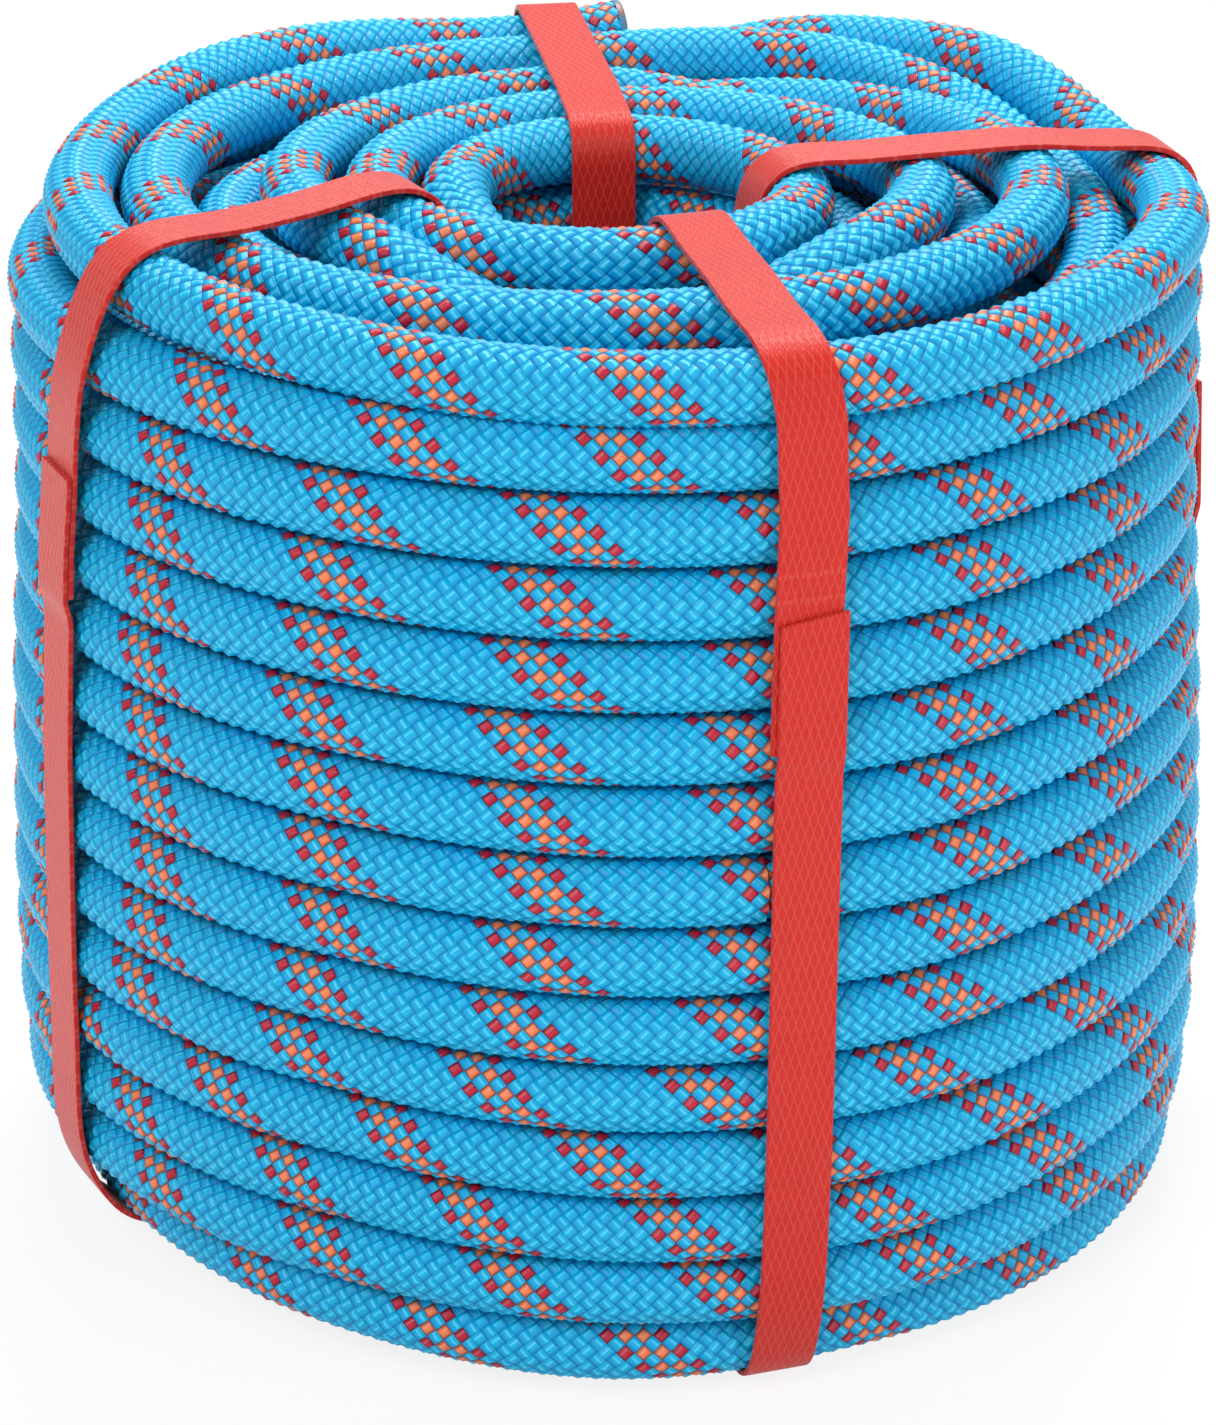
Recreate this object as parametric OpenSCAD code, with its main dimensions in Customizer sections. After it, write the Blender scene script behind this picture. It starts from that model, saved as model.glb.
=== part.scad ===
// A rope wound into a level coil and bound with four webbing straps.
// Millimetres, +Z up. The coil stands on the undersides of its straps at z = 0,
// centred on the Z axis. Angles run anticlockwise seen from above, from +X.

/* [Rope] */
// Diameter of the rope over its braided sheath
rope_d = 12.7; // [9:0.1:16]
// Thickness of the braided sheath round the core strands
sheath_t = 1.6; // [1:0.1:2.2]
// Length of the cut end that stands clear of the winding
cut_end_l = 17; // [8:1:24]
// Depth by which the ends of the core strands sit inside the sheath
core_recess = 0.6; // [0.2:0.1:2]

/* [Coil] */
// Turns of rope in the outer layer, one above another
turns = 15; // [10:1:17]
// Diameter of the open hole down the middle of the coil
bore_d = 54; // [50:1:80]

/* [Straps] */
// Width of the webbing
strap_w = 11.8; // [8:0.2:12.6]
// Thickness of the webbing
strap_t = 1; // [0.6:0.1:1.2]
// Length over which a strap's two ends lie on each other
lap_l = 30; // [15:1:40]
// Depth of the lap's upper end below the top of its strap
lap_drop = 48; // [20:1:60]

/* [Fit] */
// Clearance between soft pieces that lie against each other
clear = 0.3; // [0.2:0.05:0.4]

/* [Hidden] */
$fn = 64;

rope_r = rope_d / 2;
bore_r = bore_d / 2;
layers = 7;          // layers of rope from the hole to the outside, which the routes below fit
layer_step = 0.908;  // step from one layer to the next, in rope diameters
outer_r = bore_r + rope_r + (layers - 1) * layer_step * rope_d; // centre line of the outer layer

ring_step = 15;      // degrees from one ring of a tube to the next: 24 rings a loop
end_az = 105;        // where the outer layer leaves the circle and runs straight to its cut end
level_fall = 0.3;    // share of a turn's fall that is spread evenly round the coil
jog_fall = 1 - level_fall; // share that falls in one jog across the back
jog_start = 300;     // degrees after end_az at which each turn's jog starts
jog_span = 40;       // degrees that a jog takes

// Fall of the outer layer below its first point, in rope diameters, a degrees after end_az.
function smooth(u) = u <= 0 ? 0 : u >= 1 ? 1 : u * u * (3 - 2 * u);
function jogs(a) = let (n = floor((a - jog_start) / 360))
    n + smooth((a - jog_start - 360 * n) / jog_span);
function fall(a) = level_fall * a / 360 + jog_fall * jogs(a);

outer_span = 360 * (turns - 1) + jog_start; // the last turn stops short of its jog
floor_z = strap_t + clear;             // the rope and its core lie on the straps
first_z = floor_z + rope_r + fall(outer_span) * rope_d;
deck_z = first_z - 0.15 * rope_d;      // centre height of the turns that lie on top

// The top turn of the outer layer leans in on the left, and so does the lowest one:
// [degrees after end_az, inward shift in rope diameters].
top_tuck = [[0, 0.16], [45, 0.3], [75, 0.45], [105, 0.25], [150, 0.05], [180, 0]];
low_tuck = [[60, 0], [105, 0.45], [135, 0.4], [165, 0.1], [180, 0]];
function tuck(a) = a < 180 ? lookup(a, top_tuck)
    : a > outer_span - jog_start ? lookup(a - outer_span + jog_start, low_tuck) : 0;

// The turns on top wind inward as a spiral, dip under one another and go down the hole:
// [degrees, centre outward from the hole's wall, depth below the deck], in rope diameters.
top_route = [
    [270, 4.9, 1.05], [330, 4.9, 0.85], [360, 4.85, 0.65], [390, 4.85, 0.5], [420, 4.8, 0.2],
    [450, 4.8, 0.05], [480, 4.7, 0], [540, 4.4, 0], [585, 4.1, 0], [630, 3.85, 0],
    [675, 3.85, 0], [720, 3.95, 0], [750, 3.85, 0.05], [780, 3.8, 0.3], [810, 3.75, 0.65],
    [870, 3.35, 0.7], [900, 3.3, 0.6], [945, 3.05, 0.45], [960, 3.1, 0.75], [975, 3.15, 1],
    [990, 3.2, 1.05], [1035, 3.15, 0.9], [1080, 3.15, 0.75], [1110, 2.95, 0.65], [1140, 2.8, 0.4],
    [1170, 2.8, 0.05], [1200, 2.6, 0], [1260, 2.3, 0], [1290, 2.15, 0], [1305, 2.05, 0.05],
    [1320, 2.1, 0.4], [1335, 2.15, 0.75], [1350, 2.15, 1], [1365, 2.15, 0.85], [1380, 2.2, 0.45],
    [1395, 2.25, 0.1], [1410, 2.3, 0], [1440, 2.35, 0], [1470, 2.05, 0], [1500, 1.7, 0],
    [1530, 1.4, 0], [1560, 1.25, 0], [1620, 1.1, 0], [1650, 1.2, 0], [1710, 1.2, 0],
    [1740, 1.1, 0], [1755, 0.95, 0], [1800, 0.55, 0.05], [1845, 0.4, 0.1], [1890, 0.3, 0.1],
    [1980, 0, 0.1], [2010, 0, 0.35], [2040, 0.1, 0.75], [2070, 0.3, 1.05], [2115, 0.5, 1.1],
    [2250, 0.5, 1.2], [2340, 0.25, 1.3], [2370, 0, 1.45], [2400, 0.2, 1.85], [2430, 0.4, 2.15],
    [2460, 0.3, 2.2]];
top_out = [for (p = top_route) [p[0], p[1]]];
top_down = [for (p = top_route) [p[0], p[2]]];
top_from = top_route[0][0];
top_to = top_route[len(top_route) - 1][0];
well_down = 2.2;     // depth of the deepest turn in the hole, as the route has it

// Straps: [angle of the strap's plane, its sideways shift from the axis and the radius that
// its inner leg keeps inside, both in rope diameters from the axis and the hole's wall].
front_strap = [288, 0, -0.12];
right_strap = [15.7, 0.88, -0.02];
back_strap = [98.7, 0.24, -0.22];
left_strap = [208, 0, 0.7];

function at(az, r, z) = [r * cos(az), r * sin(az), z];

// Six points round a centre, in the upright plane through the axis at that angle.
// turn = 0 has flats above and below, turn = 30 has flats at the sides.
function ring(c, az, turn) = [for (k = [0:5]) let (t = 60 * k + turn)
    c + rope_r * [cos(t) * cos(az), cos(t) * sin(az), sin(t)]];

outer_centres = [for (a = [0:ring_step:outer_span])
    at(end_az + a, outer_r - tuck(a) * rope_d, first_z - fall(a) * rope_d)];
outer_end = end_az + outer_span;
straight_start = outer_centres[0] + rope_d * [sin(end_az), -cos(end_az), 0];
straight_end = outer_centres[len(outer_centres) - 1] + rope_d * [-sin(outer_end), cos(outer_end), 0];
outer_rings = concat(
    [ring(straight_start, end_az, 0)],
    [for (i = [0:len(outer_centres) - 1]) ring(outer_centres[i], end_az + i * ring_step, 0)],
    [ring(straight_end, outer_end, 0)]);

top_centres = [for (a = [top_from:ring_step:top_to])
    at(a, bore_r + lookup(a, top_out) * rope_d, deck_z - lookup(a, top_down) * rope_d)];
top_start = top_centres[0] + rope_d * [sin(top_from), -cos(top_from), 0];
top_end = top_centres[len(top_centres) - 1] + rope_d * [-sin(top_to), cos(top_to), 0];
top_rings = concat(
    [ring(top_start, top_from, 30)],
    [for (i = [0:len(top_centres) - 1]) ring(top_centres[i], top_from + i * ring_step, 30)],
    [ring(top_end, top_to, 30)]);

// A closed tube of triangles through rings of six points.
module tube(rings) {
    last = len(rings) - 1;
    sides = [for (i = [0:last - 1], k = [0:5]) let (a = 6 * i + k, b = 6 * i + (k + 1) % 6)
        each [[a, a + 6, b], [b, a + 6, b + 6]]];
    caps = [for (k = [1:4]) each [[0, k, k + 1], [6 * last, 6 * last + k + 1, 6 * last + k]]];
    polyhedron(points = [for (r = rings) each r], faces = concat(sides, caps));
}

// Least distance between two lists of rings, on their corners and the middles of their sides,
// over the rings that lie near each other round the coil.
function dense(r) = concat(r, [for (k = [0:5]) (r[k] + r[(k + 1) % 6]) / 2]);
function near(a, b) = min([for (p = a, q = b) norm(p - q)]);
function self_gap(rings, loops) = let (pts = [for (r = rings) dense(r)], n = len(rings))
    min([for (i = [0:n - 1], k = [1:loops], j = [-1:1]) let (m = i + 24 * k + j)
        if (m < n) near(pts[i], pts[m])]);
function pair_gap(one, two) = let (a = [for (r = one) dense(r)], b = [for (r = two) dense(r)])
    min([for (p = a, q = b) if (norm(p[0] - q[0]) < 3 * rope_d) near(p, q)]);
echo(outer_turns_least_gap = self_gap(outer_rings, 1));
echo(top_turns_least_gap = self_gap(top_rings, 6));
echo(top_to_outer_least_gap = pair_gap([for (i = [0:44]) top_rings[i]],
                                       [for (i = [0:60]) outer_rings[i]]));

// The outer layer: one unbroken tube from the straight run at its cut end to the foot.
module rope_outer_turns() {
    color("deepskyblue") tube(outer_rings);
}

// The turns on top: one unbroken tube that spirals in and goes down into the hole.
module rope_top_turns() {
    color("deepskyblue") tube(top_rings);
}

// The layers inside: a plain ring with a well at the top for the turns in the hole and a
// waist at the foot for the tucked turn, and a plain sleeve for the layer that lines the hole.
// The seam between the two runs down the inner leg of the left strap.
core_r = (outer_r - rope_r) * cos(ring_step / 2) - clear; // inside the flats of the tube
waist_r = core_r - 0.5 * rope_d;
waist_z = floor_z + 1.2 * rope_d;
core_top = deck_z - (1.05 + 0.5) * rope_d - clear;
well_r = bore_r + rope_d + clear;
well_z = deck_z - (well_down + 0.5) * rope_d - clear;
seam_r = norm([leg_out(left_strap) - strap_t / 2, strap_w / 4]);
module rope_inner_layers() {
    color("dodgerblue") grooved() rotate_extrude($fn = 128) polygon([
        [seam_r + clear / 2, floor_z], [waist_r, floor_z], [waist_r, waist_z],
        [core_r, waist_z], [core_r, core_top], [well_r, core_top], [well_r, well_z],
        [seam_r + clear / 2, well_z]]);
}
module rope_bore_layer() {
    color("deepskyblue") grooved() rotate_extrude($fn = 128) polygon([
        [bore_r, floor_z], [seam_r - clear / 2, floor_z], [seam_r - clear / 2, well_z],
        [bore_r, well_z]]);
}

// Its children with grooves in which the straps lie clear.
module grooved() {
    difference() {
        children();
        for (s = [front_strap, right_strap, back_strap, left_strap]) on_strap_plane(s)
            linear_extrude(height = strap_w + 2 * clear, center = true) loop_outline(s, clear);
    }
}

// The cut end: the braided sheath as a tube, and the core strands that it holds.
module at_cut_end() {
    translate(straight_start) rotate([0, 0, end_az - 90]) rotate([0, 90, 0]) children();
}
module rope_end_sheath() {
    color("orange") at_cut_end() difference() {
        cylinder(r = rope_r, h = cut_end_l);
        translate([0, 0, -1]) cylinder(r = rope_r - sheath_t, h = cut_end_l + 2);
    }
}
core_space_r = rope_r - sheath_t - 0.05;
strand_r = core_space_r / 3;           // one strand in the middle and six round it
module rope_end_core() {
    color("white") at_cut_end() {
        cylinder(r = strand_r, h = cut_end_l - core_recess);
        for (k = [0:5]) rotate([0, 0, 60 * k]) translate([2 * strand_r, 0, 0])
            cylinder(r = strand_r, h = cut_end_l - core_recess);
    }
}

// A flat outline with round corners, from squares and circles.
module round_box(x0, x1, z0, z1, r) {
    translate([x0 + r, z0]) square([x1 - x0 - 2 * r, z1 - z0]);
    translate([x0, z0 + r]) square([x1 - x0, z1 - z0 - 2 * r]);
    for (x = [x0 + r, x1 - r], z = [z0 + r, z1 - r]) translate([x, z]) circle(r);
}

// Each strap's loop round the coil's section: its top, the wall of its leg in the hole
// and the outside of its outer leg.
corner = rope_r + clear;
loop_out = outer_r + corner + strap_t;
function outer_z(az) = first_z - fall((az - end_az + 720) % 360) * rope_d;
function rope_top(az) = max(az > 80 && az < end_az ? first_z : outer_z(az), deck_z) + rope_r;
function loop_top(s) = rope_top(s[0]) + clear + strap_t;
function leg_out(s) = let (r = bore_r + s[2] * rope_d, w = abs(s[1]) * rope_d + strap_w / 2)
    sqrt(r * r - w * w) - clear;

// The band's outline, thickened on both faces by grow.
module loop_outline(s, grow) {
    x0 = leg_out(s) - strap_t;
    top = loop_top(s);
    difference() {
        round_box(x0 - grow, loop_out + grow, -grow, top + grow, corner + strap_t + grow);
        round_box(x0 + strap_t + grow, loop_out - strap_t - grow,
                  strap_t + grow, top - strap_t - grow, corner - grow);
    }
}
module on_strap_plane(s) {
    rotate([0, 0, s[0]]) translate([0, -s[1] * rope_d, 0]) rotate([90, 0, 0]) children();
}

// One strap: a loop of webbing with its ends lapped on the outer leg.
module strap(s) {
    color("tomato") on_strap_plane(s) linear_extrude(height = strap_w, center = true) {
        loop_outline(s, 0);
        translate([loop_out - strap_t / 2, loop_top(s) - lap_drop - lap_l])
            square([1.5 * strap_t, lap_l]);
    }
}

module strap_front() { strap(front_strap); }
module strap_right() { strap(right_strap); }
module strap_back() { strap(back_strap); }
module strap_left() { strap(left_strap); }

rope_outer_turns();
rope_top_turns();
rope_inner_layers();
rope_bore_layer();
rope_end_sheath();
rope_end_core();
strap_front();
strap_right();
strap_back();
strap_left();
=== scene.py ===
import math

import bmesh
import bpy
import numpy as np
from mathutils import Matrix, Vector


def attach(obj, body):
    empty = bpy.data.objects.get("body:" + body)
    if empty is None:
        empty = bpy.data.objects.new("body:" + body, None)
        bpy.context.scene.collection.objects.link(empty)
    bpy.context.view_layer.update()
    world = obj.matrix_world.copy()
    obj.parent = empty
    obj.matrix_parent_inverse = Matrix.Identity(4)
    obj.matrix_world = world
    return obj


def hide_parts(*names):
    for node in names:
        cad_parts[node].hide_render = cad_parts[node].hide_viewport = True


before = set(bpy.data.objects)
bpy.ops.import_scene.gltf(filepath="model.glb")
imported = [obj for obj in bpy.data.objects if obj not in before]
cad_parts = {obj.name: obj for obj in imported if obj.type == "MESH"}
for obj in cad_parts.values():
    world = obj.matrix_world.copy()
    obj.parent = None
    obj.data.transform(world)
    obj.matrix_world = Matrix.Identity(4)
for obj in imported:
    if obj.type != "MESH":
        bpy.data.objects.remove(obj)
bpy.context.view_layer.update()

mm = 0.001


def hexToLinear(text):
    channels = [int(text[k:k + 2], 16) / 255 for k in (1, 3, 5)]
    return [c / 12.92 if c <= 0.04045 else ((c + 0.055) / 1.055) ** 2.4 for c in channels] + [1.0]


def addNode(tree, kind, inputs=(), **settings):
    # settings are the node's properties; its inputs, by name or in order, get a plain value, another
    # node's output, or another node, whose first output is meant
    node = tree.nodes.new(kind)
    for name, value in settings.items():
        setattr(node, name, value)
    for key, value in inputs.items() if isinstance(inputs, dict) else enumerate(inputs):
        if isinstance(value, bpy.types.Node):
            value = value.outputs[0]
        if isinstance(value, bpy.types.NodeSocket):
            tree.links.new(value, node.inputs[key])
        else:
            node.inputs[key].default_value = value
    return node


def newMaterial(name):
    material = bpy.data.materials.new(name)
    material.use_nodes = True
    material.node_tree.nodes.clear()
    return material, material.node_tree


def finishMaterial(tree, inputs):
    shader = addNode(tree, "ShaderNodeBsdfPrincipled", inputs)
    addNode(tree, "ShaderNodeOutputMaterial", {"Surface": shader})


def setRamp(ramp, stops, interpolation):
    ramp.color_ramp.interpolation = interpolation
    elements = ramp.color_ramp.elements
    while len(elements) < len(stops):
        elements.new(0.5)
    # twice, because the ramp may sort its elements as they move
    for _ in range(2):
        for element, (position, color) in zip(elements, stops):
            element.position, element.color = position, hexToLinear(color)


def smoothStep(u):
    u = np.clip(u, 0, 1)
    return u * u * (3 - 2 * u)


def fromTable(table, at, column=1):
    # what a table of [place, value, ...] rows gives, in straight lines between its rows
    rows = np.array(table)
    return np.interp(at, rows[:, 0], rows[:, column])


def runningMean(values, reach):
    # a mean with soft ends, which rounds the corners between knots
    window = np.hanning(2 * reach + 3)[1:-1]
    padded = np.concatenate([np.full(reach, values[0]), values, np.full(reach, values[-1])])
    return np.convolve(padded, window / window.sum(), mode="valid")


def meshFrom(bm, name):
    mesh = bpy.data.meshes.new(name)
    bm.to_mesh(mesh)
    bm.free()
    return mesh


def addPiece(name, mesh, material):
    mesh.shade_smooth()
    mesh.materials.append(material)
    piece = bpy.data.objects.new(name, mesh)
    bpy.context.scene.collection.objects.link(piece)
    return piece


# The rope's route. Angles are degrees anticlockwise from +X, seen from above. Radii and heights
# are in rope diameters. The whole rope is one line, from its cut end at the top of the back.

rope = {
    "diameter": 12.7,       # mm
    "strands": 24,          # of the braid, half of them each way
    "leadsPerTurn": 18,     # times a strand goes round the rope in one outer turn
    "relief": 0.45,         # mm from the crown of a strand down to the pits between strands
    "lineShare": 0.43,      # radius of the line inside the sheath, in rope diameters
    "lineStart": 0.06,      # leads from the cut to the start of that line
}
ropeSize = rope["diameter"] * mm

coil = {
    "boreRadius": 27 / rope["diameter"],    # of the hole, whose wall is 27 mm from its axis
    "layers": 6,            # outside the one that lines the hole
    "layerStep": 0.908,     # between the layers' middles, as each settles into the one below
    "endAzimuth": 105,      # where the outer layer starts, after the straight cut end
    "endLength": 2.25,      # of that end, and how far it lifts towards the cut
    "endLift": 0.12,
    "levelFall": 0.3,       # share of each turn's fall that is spread over the turn
    "jogStart": 300,        # the rest of it comes in one jog
    "jogSpan": 40,
    "wholeTurns": 14,       # of the outer layer, and then a part of a turn in degrees
    "partTurn": 300,
    "foot": 7.45 / rope["diameter"],        # height of the lowest turn's middle, 7.45 mm
    "deckDrop": 0.15,       # from the highest outer turn down to the deck of top turns
    "splitTurn": 7.5,       # where the outer layer's surface is split into two pieces
    "braidPast": 60,        # degrees past the outer layer's end that still show the braid
    "braidBefore": 70,      # degrees before the first knot of the top turns that show it
    "easing": 12,           # degrees each way over which the route rounds its knots
}
outerRadius = coil["boreRadius"] + 0.5 + coil["layers"] * coil["layerStep"]
outerSpan = 360 * coil["wholeTurns"] + coil["partTurn"]


def fall(a):
    lap = np.floor((a - coil["jogStart"]) / 360)
    jogs = lap + smoothStep((a - coil["jogStart"] - 360 * lap) / coil["jogSpan"])
    return coil["levelFall"] * a / 360 + (1 - coil["levelFall"]) * jogs


firstHeight = coil["foot"] + float(fall(outerSpan))
deckHeight = firstHeight - coil["deckDrop"]

# how unevenly the outer turns lie
lie = {
    # the highest turn: [degrees after the start of the layer, inward shift]
    "topTuck": [
        [0, 0.45], [12, 0.36], [35, 0.3], [62, 0.55], [90, 0.64], [108, 0.5], [130, 0.22],
        [150, 0.05], [180, 0]],
    # the lowest turn: [degrees after its start, inward shift, lift]
    "lowTuck": [
        [50, 0, 0], [82, 0.36, 0.15], [110, 0.36, 0.16], [138, 0.16, 0.08], [165, 0.03, 0],
        [172, 0.08, 0], [190, 0.22, 0.08], [215, 0.05, 0], [235, 0, 0]],
    # the turns slope a little more across the front: [angle, rise]
    "lean": [
        [0, 0], [180, 0], [205, 0.05], [245, 0.1], [272, 0], [300, -0.08], [320, -0.03], [345, 0],
        [360, 0]],
    # the highest turn is low at its start and high at the back right, and the next three follow it
    # there a little: [degrees after the start, inward shift, rise]
    "rimRise": [
        [0, 0, -0.14], [7, 0, -0.06], [14, 0, 0.05], [24, 0, 0.13], [34, 0, 0.15], [44, 0, 0.08],
        [62, 0, 0], [125, 0, 0], [160, 0, -0.12], [195, 0, -0.1], [225, 0, 0], [245, 0, 0],
        [260, 0.08, -0.15], [272, 0.15, -0.25], [284, 0.1, 0], [295, 0.1, 0.42], [307, 0.1, 0.44],
        [315, 0.1, 0.52], [321, 0.05, 0.64], [329, 0, 0.56], [337, 0, 0.35], [348, 0, 0],
        [638, 0, 0], [656, 0, 0.2], [680, 0, 0.33], [697, 0, 0.2], [714, 0, 0],
        [998, 0, 0], [1014, 0, 0.17], [1042, 0, 0.2], [1068, 0, 0],
        [1358, 0, 0], [1376, 0, 0.09], [1400, 0, 0.1], [1428, 0, 0]],
    # the coil is a little fuller towards its foot, least at the front left:
    # [height, outward shift] and [angle, share of that shift]
    "bulge": [
        [0.6, 0.05], [1.6, 0.22], [3, 0.32], [5, 0.28], [8, 0.14], [10.5, -0.05], [13.6, -0.14],
        [14.9, -0.06]],
    "bulgeRound": [
        [0, 1], [140, 0.9], [180, 1], [215, 0.6], [245, 0.1], [270, 0.7], [300, 1], [360, 1]],
}

# the top turns, down into the hole: [degrees, outward from the hole's wall, depth below the deck]
topRoute = [
    [270, 4.9, 1.05], [330, 4.9, 0.85], [360, 4.85, 0.65], [388, 4.87, 0.45], [404, 5, 0.1],
    [422, 5.02, -0.1], [436, 4.85, -0.05], [452, 4.52, 0.02], [466, 4.44, 0], [480, 4.5, 0],
    [510, 4.47, 0], [540, 4.27, 0],
    [585, 4.05, 0], [630, 3.85, 0],
    [675, 3.85, 0], [720, 3.95, 0], [750, 3.85, 0.05], [780, 3.8, 0.3], [810, 3.68, 0.68],
    [870, 3.35, 0.7], [900, 3.3, 0.6], [945, 3.05, 0.45], [960, 3.1, 0.75], [975, 3.15, 1],
    [990, 3.2, 1.05], [1035, 3.15, 0.9], [1080, 3.15, 0.75], [1110, 2.95, 0.65], [1140, 2.8, 0.4],
    [1170, 2.8, 0.05], [1200, 2.6, 0], [1260, 2.3, 0], [1290, 2.15, 0], [1305, 2.05, 0.05],
    [1320, 2.1, 0.4], [1335, 2.15, 0.75], [1350, 2.15, 1], [1365, 2.15, 0.85], [1380, 2.2, 0.45],
    [1395, 2.25, 0.1], [1410, 2.3, 0], [1440, 2.35, 0], [1470, 2.05, 0], [1500, 1.7, 0],
    [1530, 1.4, 0], [1560, 1.25, 0], [1620, 1.1, 0], [1650, 1.2, 0], [1710, 1.2, 0],
    [1740, 1.1, 0], [1755, 0.95, 0], [1800, 0.55, 0.05], [1845, 0.4, 0.1], [1890, 0.3, 0.1],
    [1980, 0, 0.1], [2010, 0, 0.35], [2040, 0.1, 0.75], [2070, 0.3, 1.05], [2115, 0.5, 1.1],
    [2250, 0.5, 1.2], [2340, 0.25, 1.3], [2370, 0, 1.45], [2400, 0.2, 1.85], [2430, 0.4, 2.15],
    [2460, 0.48, 2.25]]

inside = {
    "underOuter": 7.14,     # radius of the layer under the outer one
    "footStart": 45,        # degrees after the outer layer's end
    # the turn under the outer layer at the foot: [degrees after its start, inward shift, lift]
    "footTurn": [[0, 0, 0], [60, 0.72, 0.1], [200, 0.72, 0.45], [235, 0, 0.55]],
    "climbTurns": 13,       # from there up to the start of the top turns
    "climbEase": 60,        # degrees before that start where the climb ends
    "climbDrop": 0.15,      # and how much lower it ends
    "radii": [2.6, 3.51, 4.42, 5.33, 6.23],     # the layers out from the hole
    "top": 12.5,            # centre height of their highest turns
    "lastFoot": 1.3,        # how far above the foot the rope's far end lies
    "swap": 60,             # degrees that a change of layer takes
    "riser": [-50, 60],     # where the second layer shows between the top turns
    "riserEase": 70,        # degrees over which it comes up, and goes down again
    "riserHeight": 13.65,
    "riserShift": 0.14,     # outward there, and where it is down again
    "riserEndShift": 0.3,
    "riserHidden": [30, 20],                    # degrees at its two ends without the braid
    "squeezeAzimuth": 208,  # the left strap goes down between the first two layers here
    "squeezeSpread": 16,    # degrees each way
    "squeeze": [-0.09, 0.12],
    "layerReach": 0.3,      # a turn this near a layer's radius belongs to it
}


def ropeKnots():
    # the rope's middle as [azimuth, radius, height], first down the outer layer
    a = np.arange(0, outerSpan + 0.1, 3.0)
    lastTurn = a - 360 * coil["wholeTurns"]
    azimuth = coil["endAzimuth"] + a
    r = outerRadius - fromTable(lie["topTuck"], a)
    r = r - fromTable(lie["lowTuck"], lastTurn)
    r = r - fromTable(lie["rimRise"], a)
    z = firstHeight - fall(a) + fromTable(lie["lowTuck"], lastTurn, 2)
    z = z + fromTable(lie["rimRise"], a, 2) + fromTable(lie["lean"], azimuth % 360)
    knots = np.stack([azimuth, r, z], axis=1).tolist()
    outerEnd = coil["endAzimuth"] + outerSpan

    # under the outer layer at the foot, and up behind it to the start of the top turns
    radius, foot = inside["underOuter"], coil["foot"]
    start = outerEnd + inside["footStart"]
    for after, inward, lift in inside["footTurn"]:
        knots.append([start + after, radius - inward, foot + lift])
    begin = start + (topRoute[0][0] - start) % 360 + 360 * inside["climbTurns"]
    climbTop = deckHeight - topRoute[0][2] - inside["climbDrop"]
    knots.append([begin - inside["climbEase"], radius, climbTop])

    for angle, out, down in topRoute:
        knots.append([begin + angle - topRoute[0][0], coil["boreRadius"] + out, deckHeight - down])

    # down the wall of the hole, then up and down through the layers behind it
    at, height = knots[-1][0], knots[-1][2]
    marks = {"outerEnd": outerEnd, "topBegin": begin, "topEnd": at}
    for k, radius in enumerate(inside["radii"]):
        goal = foot if k % 2 == 0 else inside["top"]
        if k == len(inside["radii"]) - 1:
            goal = foot + inside["lastFoot"]
        at += inside["swap"]
        knots.append([at, radius, height])
        turns = 360 * abs(goal - height)
        if k == 1:
            turns += (inside["riser"][0] - inside["riserEase"] - at - turns) % 360 - 360
        at += turns
        knots.append([at, radius, goal])
        if k == 0:
            marks["boreEnd"] = at
        if k == 1:
            marks["riserStart"] = at + inside["riserHidden"][0]
            shownRadius = radius + inside["riserShift"]
            at += inside["riserEase"]
            knots.append([at, shownRadius, inside["riserHeight"]])
            at += inside["riser"][1] - inside["riser"][0]
            knots.append([at, shownRadius, inside["riserHeight"]])
            at += inside["riserEase"]
            knots.append([at, radius + inside["riserEndShift"], goal])
            marks["riserEnd"] = at - inside["riserHidden"][1]
        height = goal
    return np.array(knots), marks


def ropeRoute():
    knots, marks = ropeKnots()
    azimuth = np.arange(knots[0, 0], knots[-1, 0], 1.0)
    r, z = [runningMean(fromTable(knots, azimuth, column), coil["easing"]) for column in (1, 2)]
    # the left strap's inner leg presses the first two layers apart
    gap = (azimuth - inside["squeezeAzimuth"] + 180) % 360 - 180
    press = np.exp(-(gap / inside["squeezeSpread"]) ** 2) * (azimuth > marks["topEnd"])
    for shift, radius in zip(inside["squeeze"], inside["radii"]):
        r = r + shift * press * (abs(r - radius) < inside["layerReach"])
    # the outer layer is the fullest, and those inside it less and less
    outward = fromTable(lie["bulge"], z) * fromTable(lie["bulgeRound"], azimuth % 360)
    r = r + outward * (r / outerRadius) ** 3
    turn = np.radians(azimuth)
    points = np.stack([r * np.cos(turn), r * np.sin(turn), z], axis=1)
    heading = np.array([math.sin(turn[0]), -math.cos(turn[0]), 0])
    # the cut end runs straight on from the first knot, and lifts a little towards the cut
    back = np.linspace(coil["endLength"], 0, 24)[:-1]
    lift = coil["endLift"] * smoothStep(1.9 * back / coil["endLength"] - 0.9)
    straight = points[0] + back[:, None] * heading + np.stack([0 * lift, 0 * lift, lift], axis=1)
    points = np.concatenate([straight, points]) * rope["diameter"] * mm
    azimuth = np.concatenate([azimuth[0] - np.degrees(back / r[0]), azimuth])
    steps = np.linalg.norm(np.diff(points, axis=0), axis=1)
    return points, azimuth, np.concatenate([[0], np.cumsum(steps)]), marks


routePoints, routeAzimuth, routeAlong, marks = ropeRoute()
lead = 2 * math.pi * outerRadius * rope["diameter"] * mm / rope["leadsPerTurn"]
print(f"route: {routeAlong[-1]:.2f} m of rope, and a lead of {lead / mm:.2f} mm")

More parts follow.
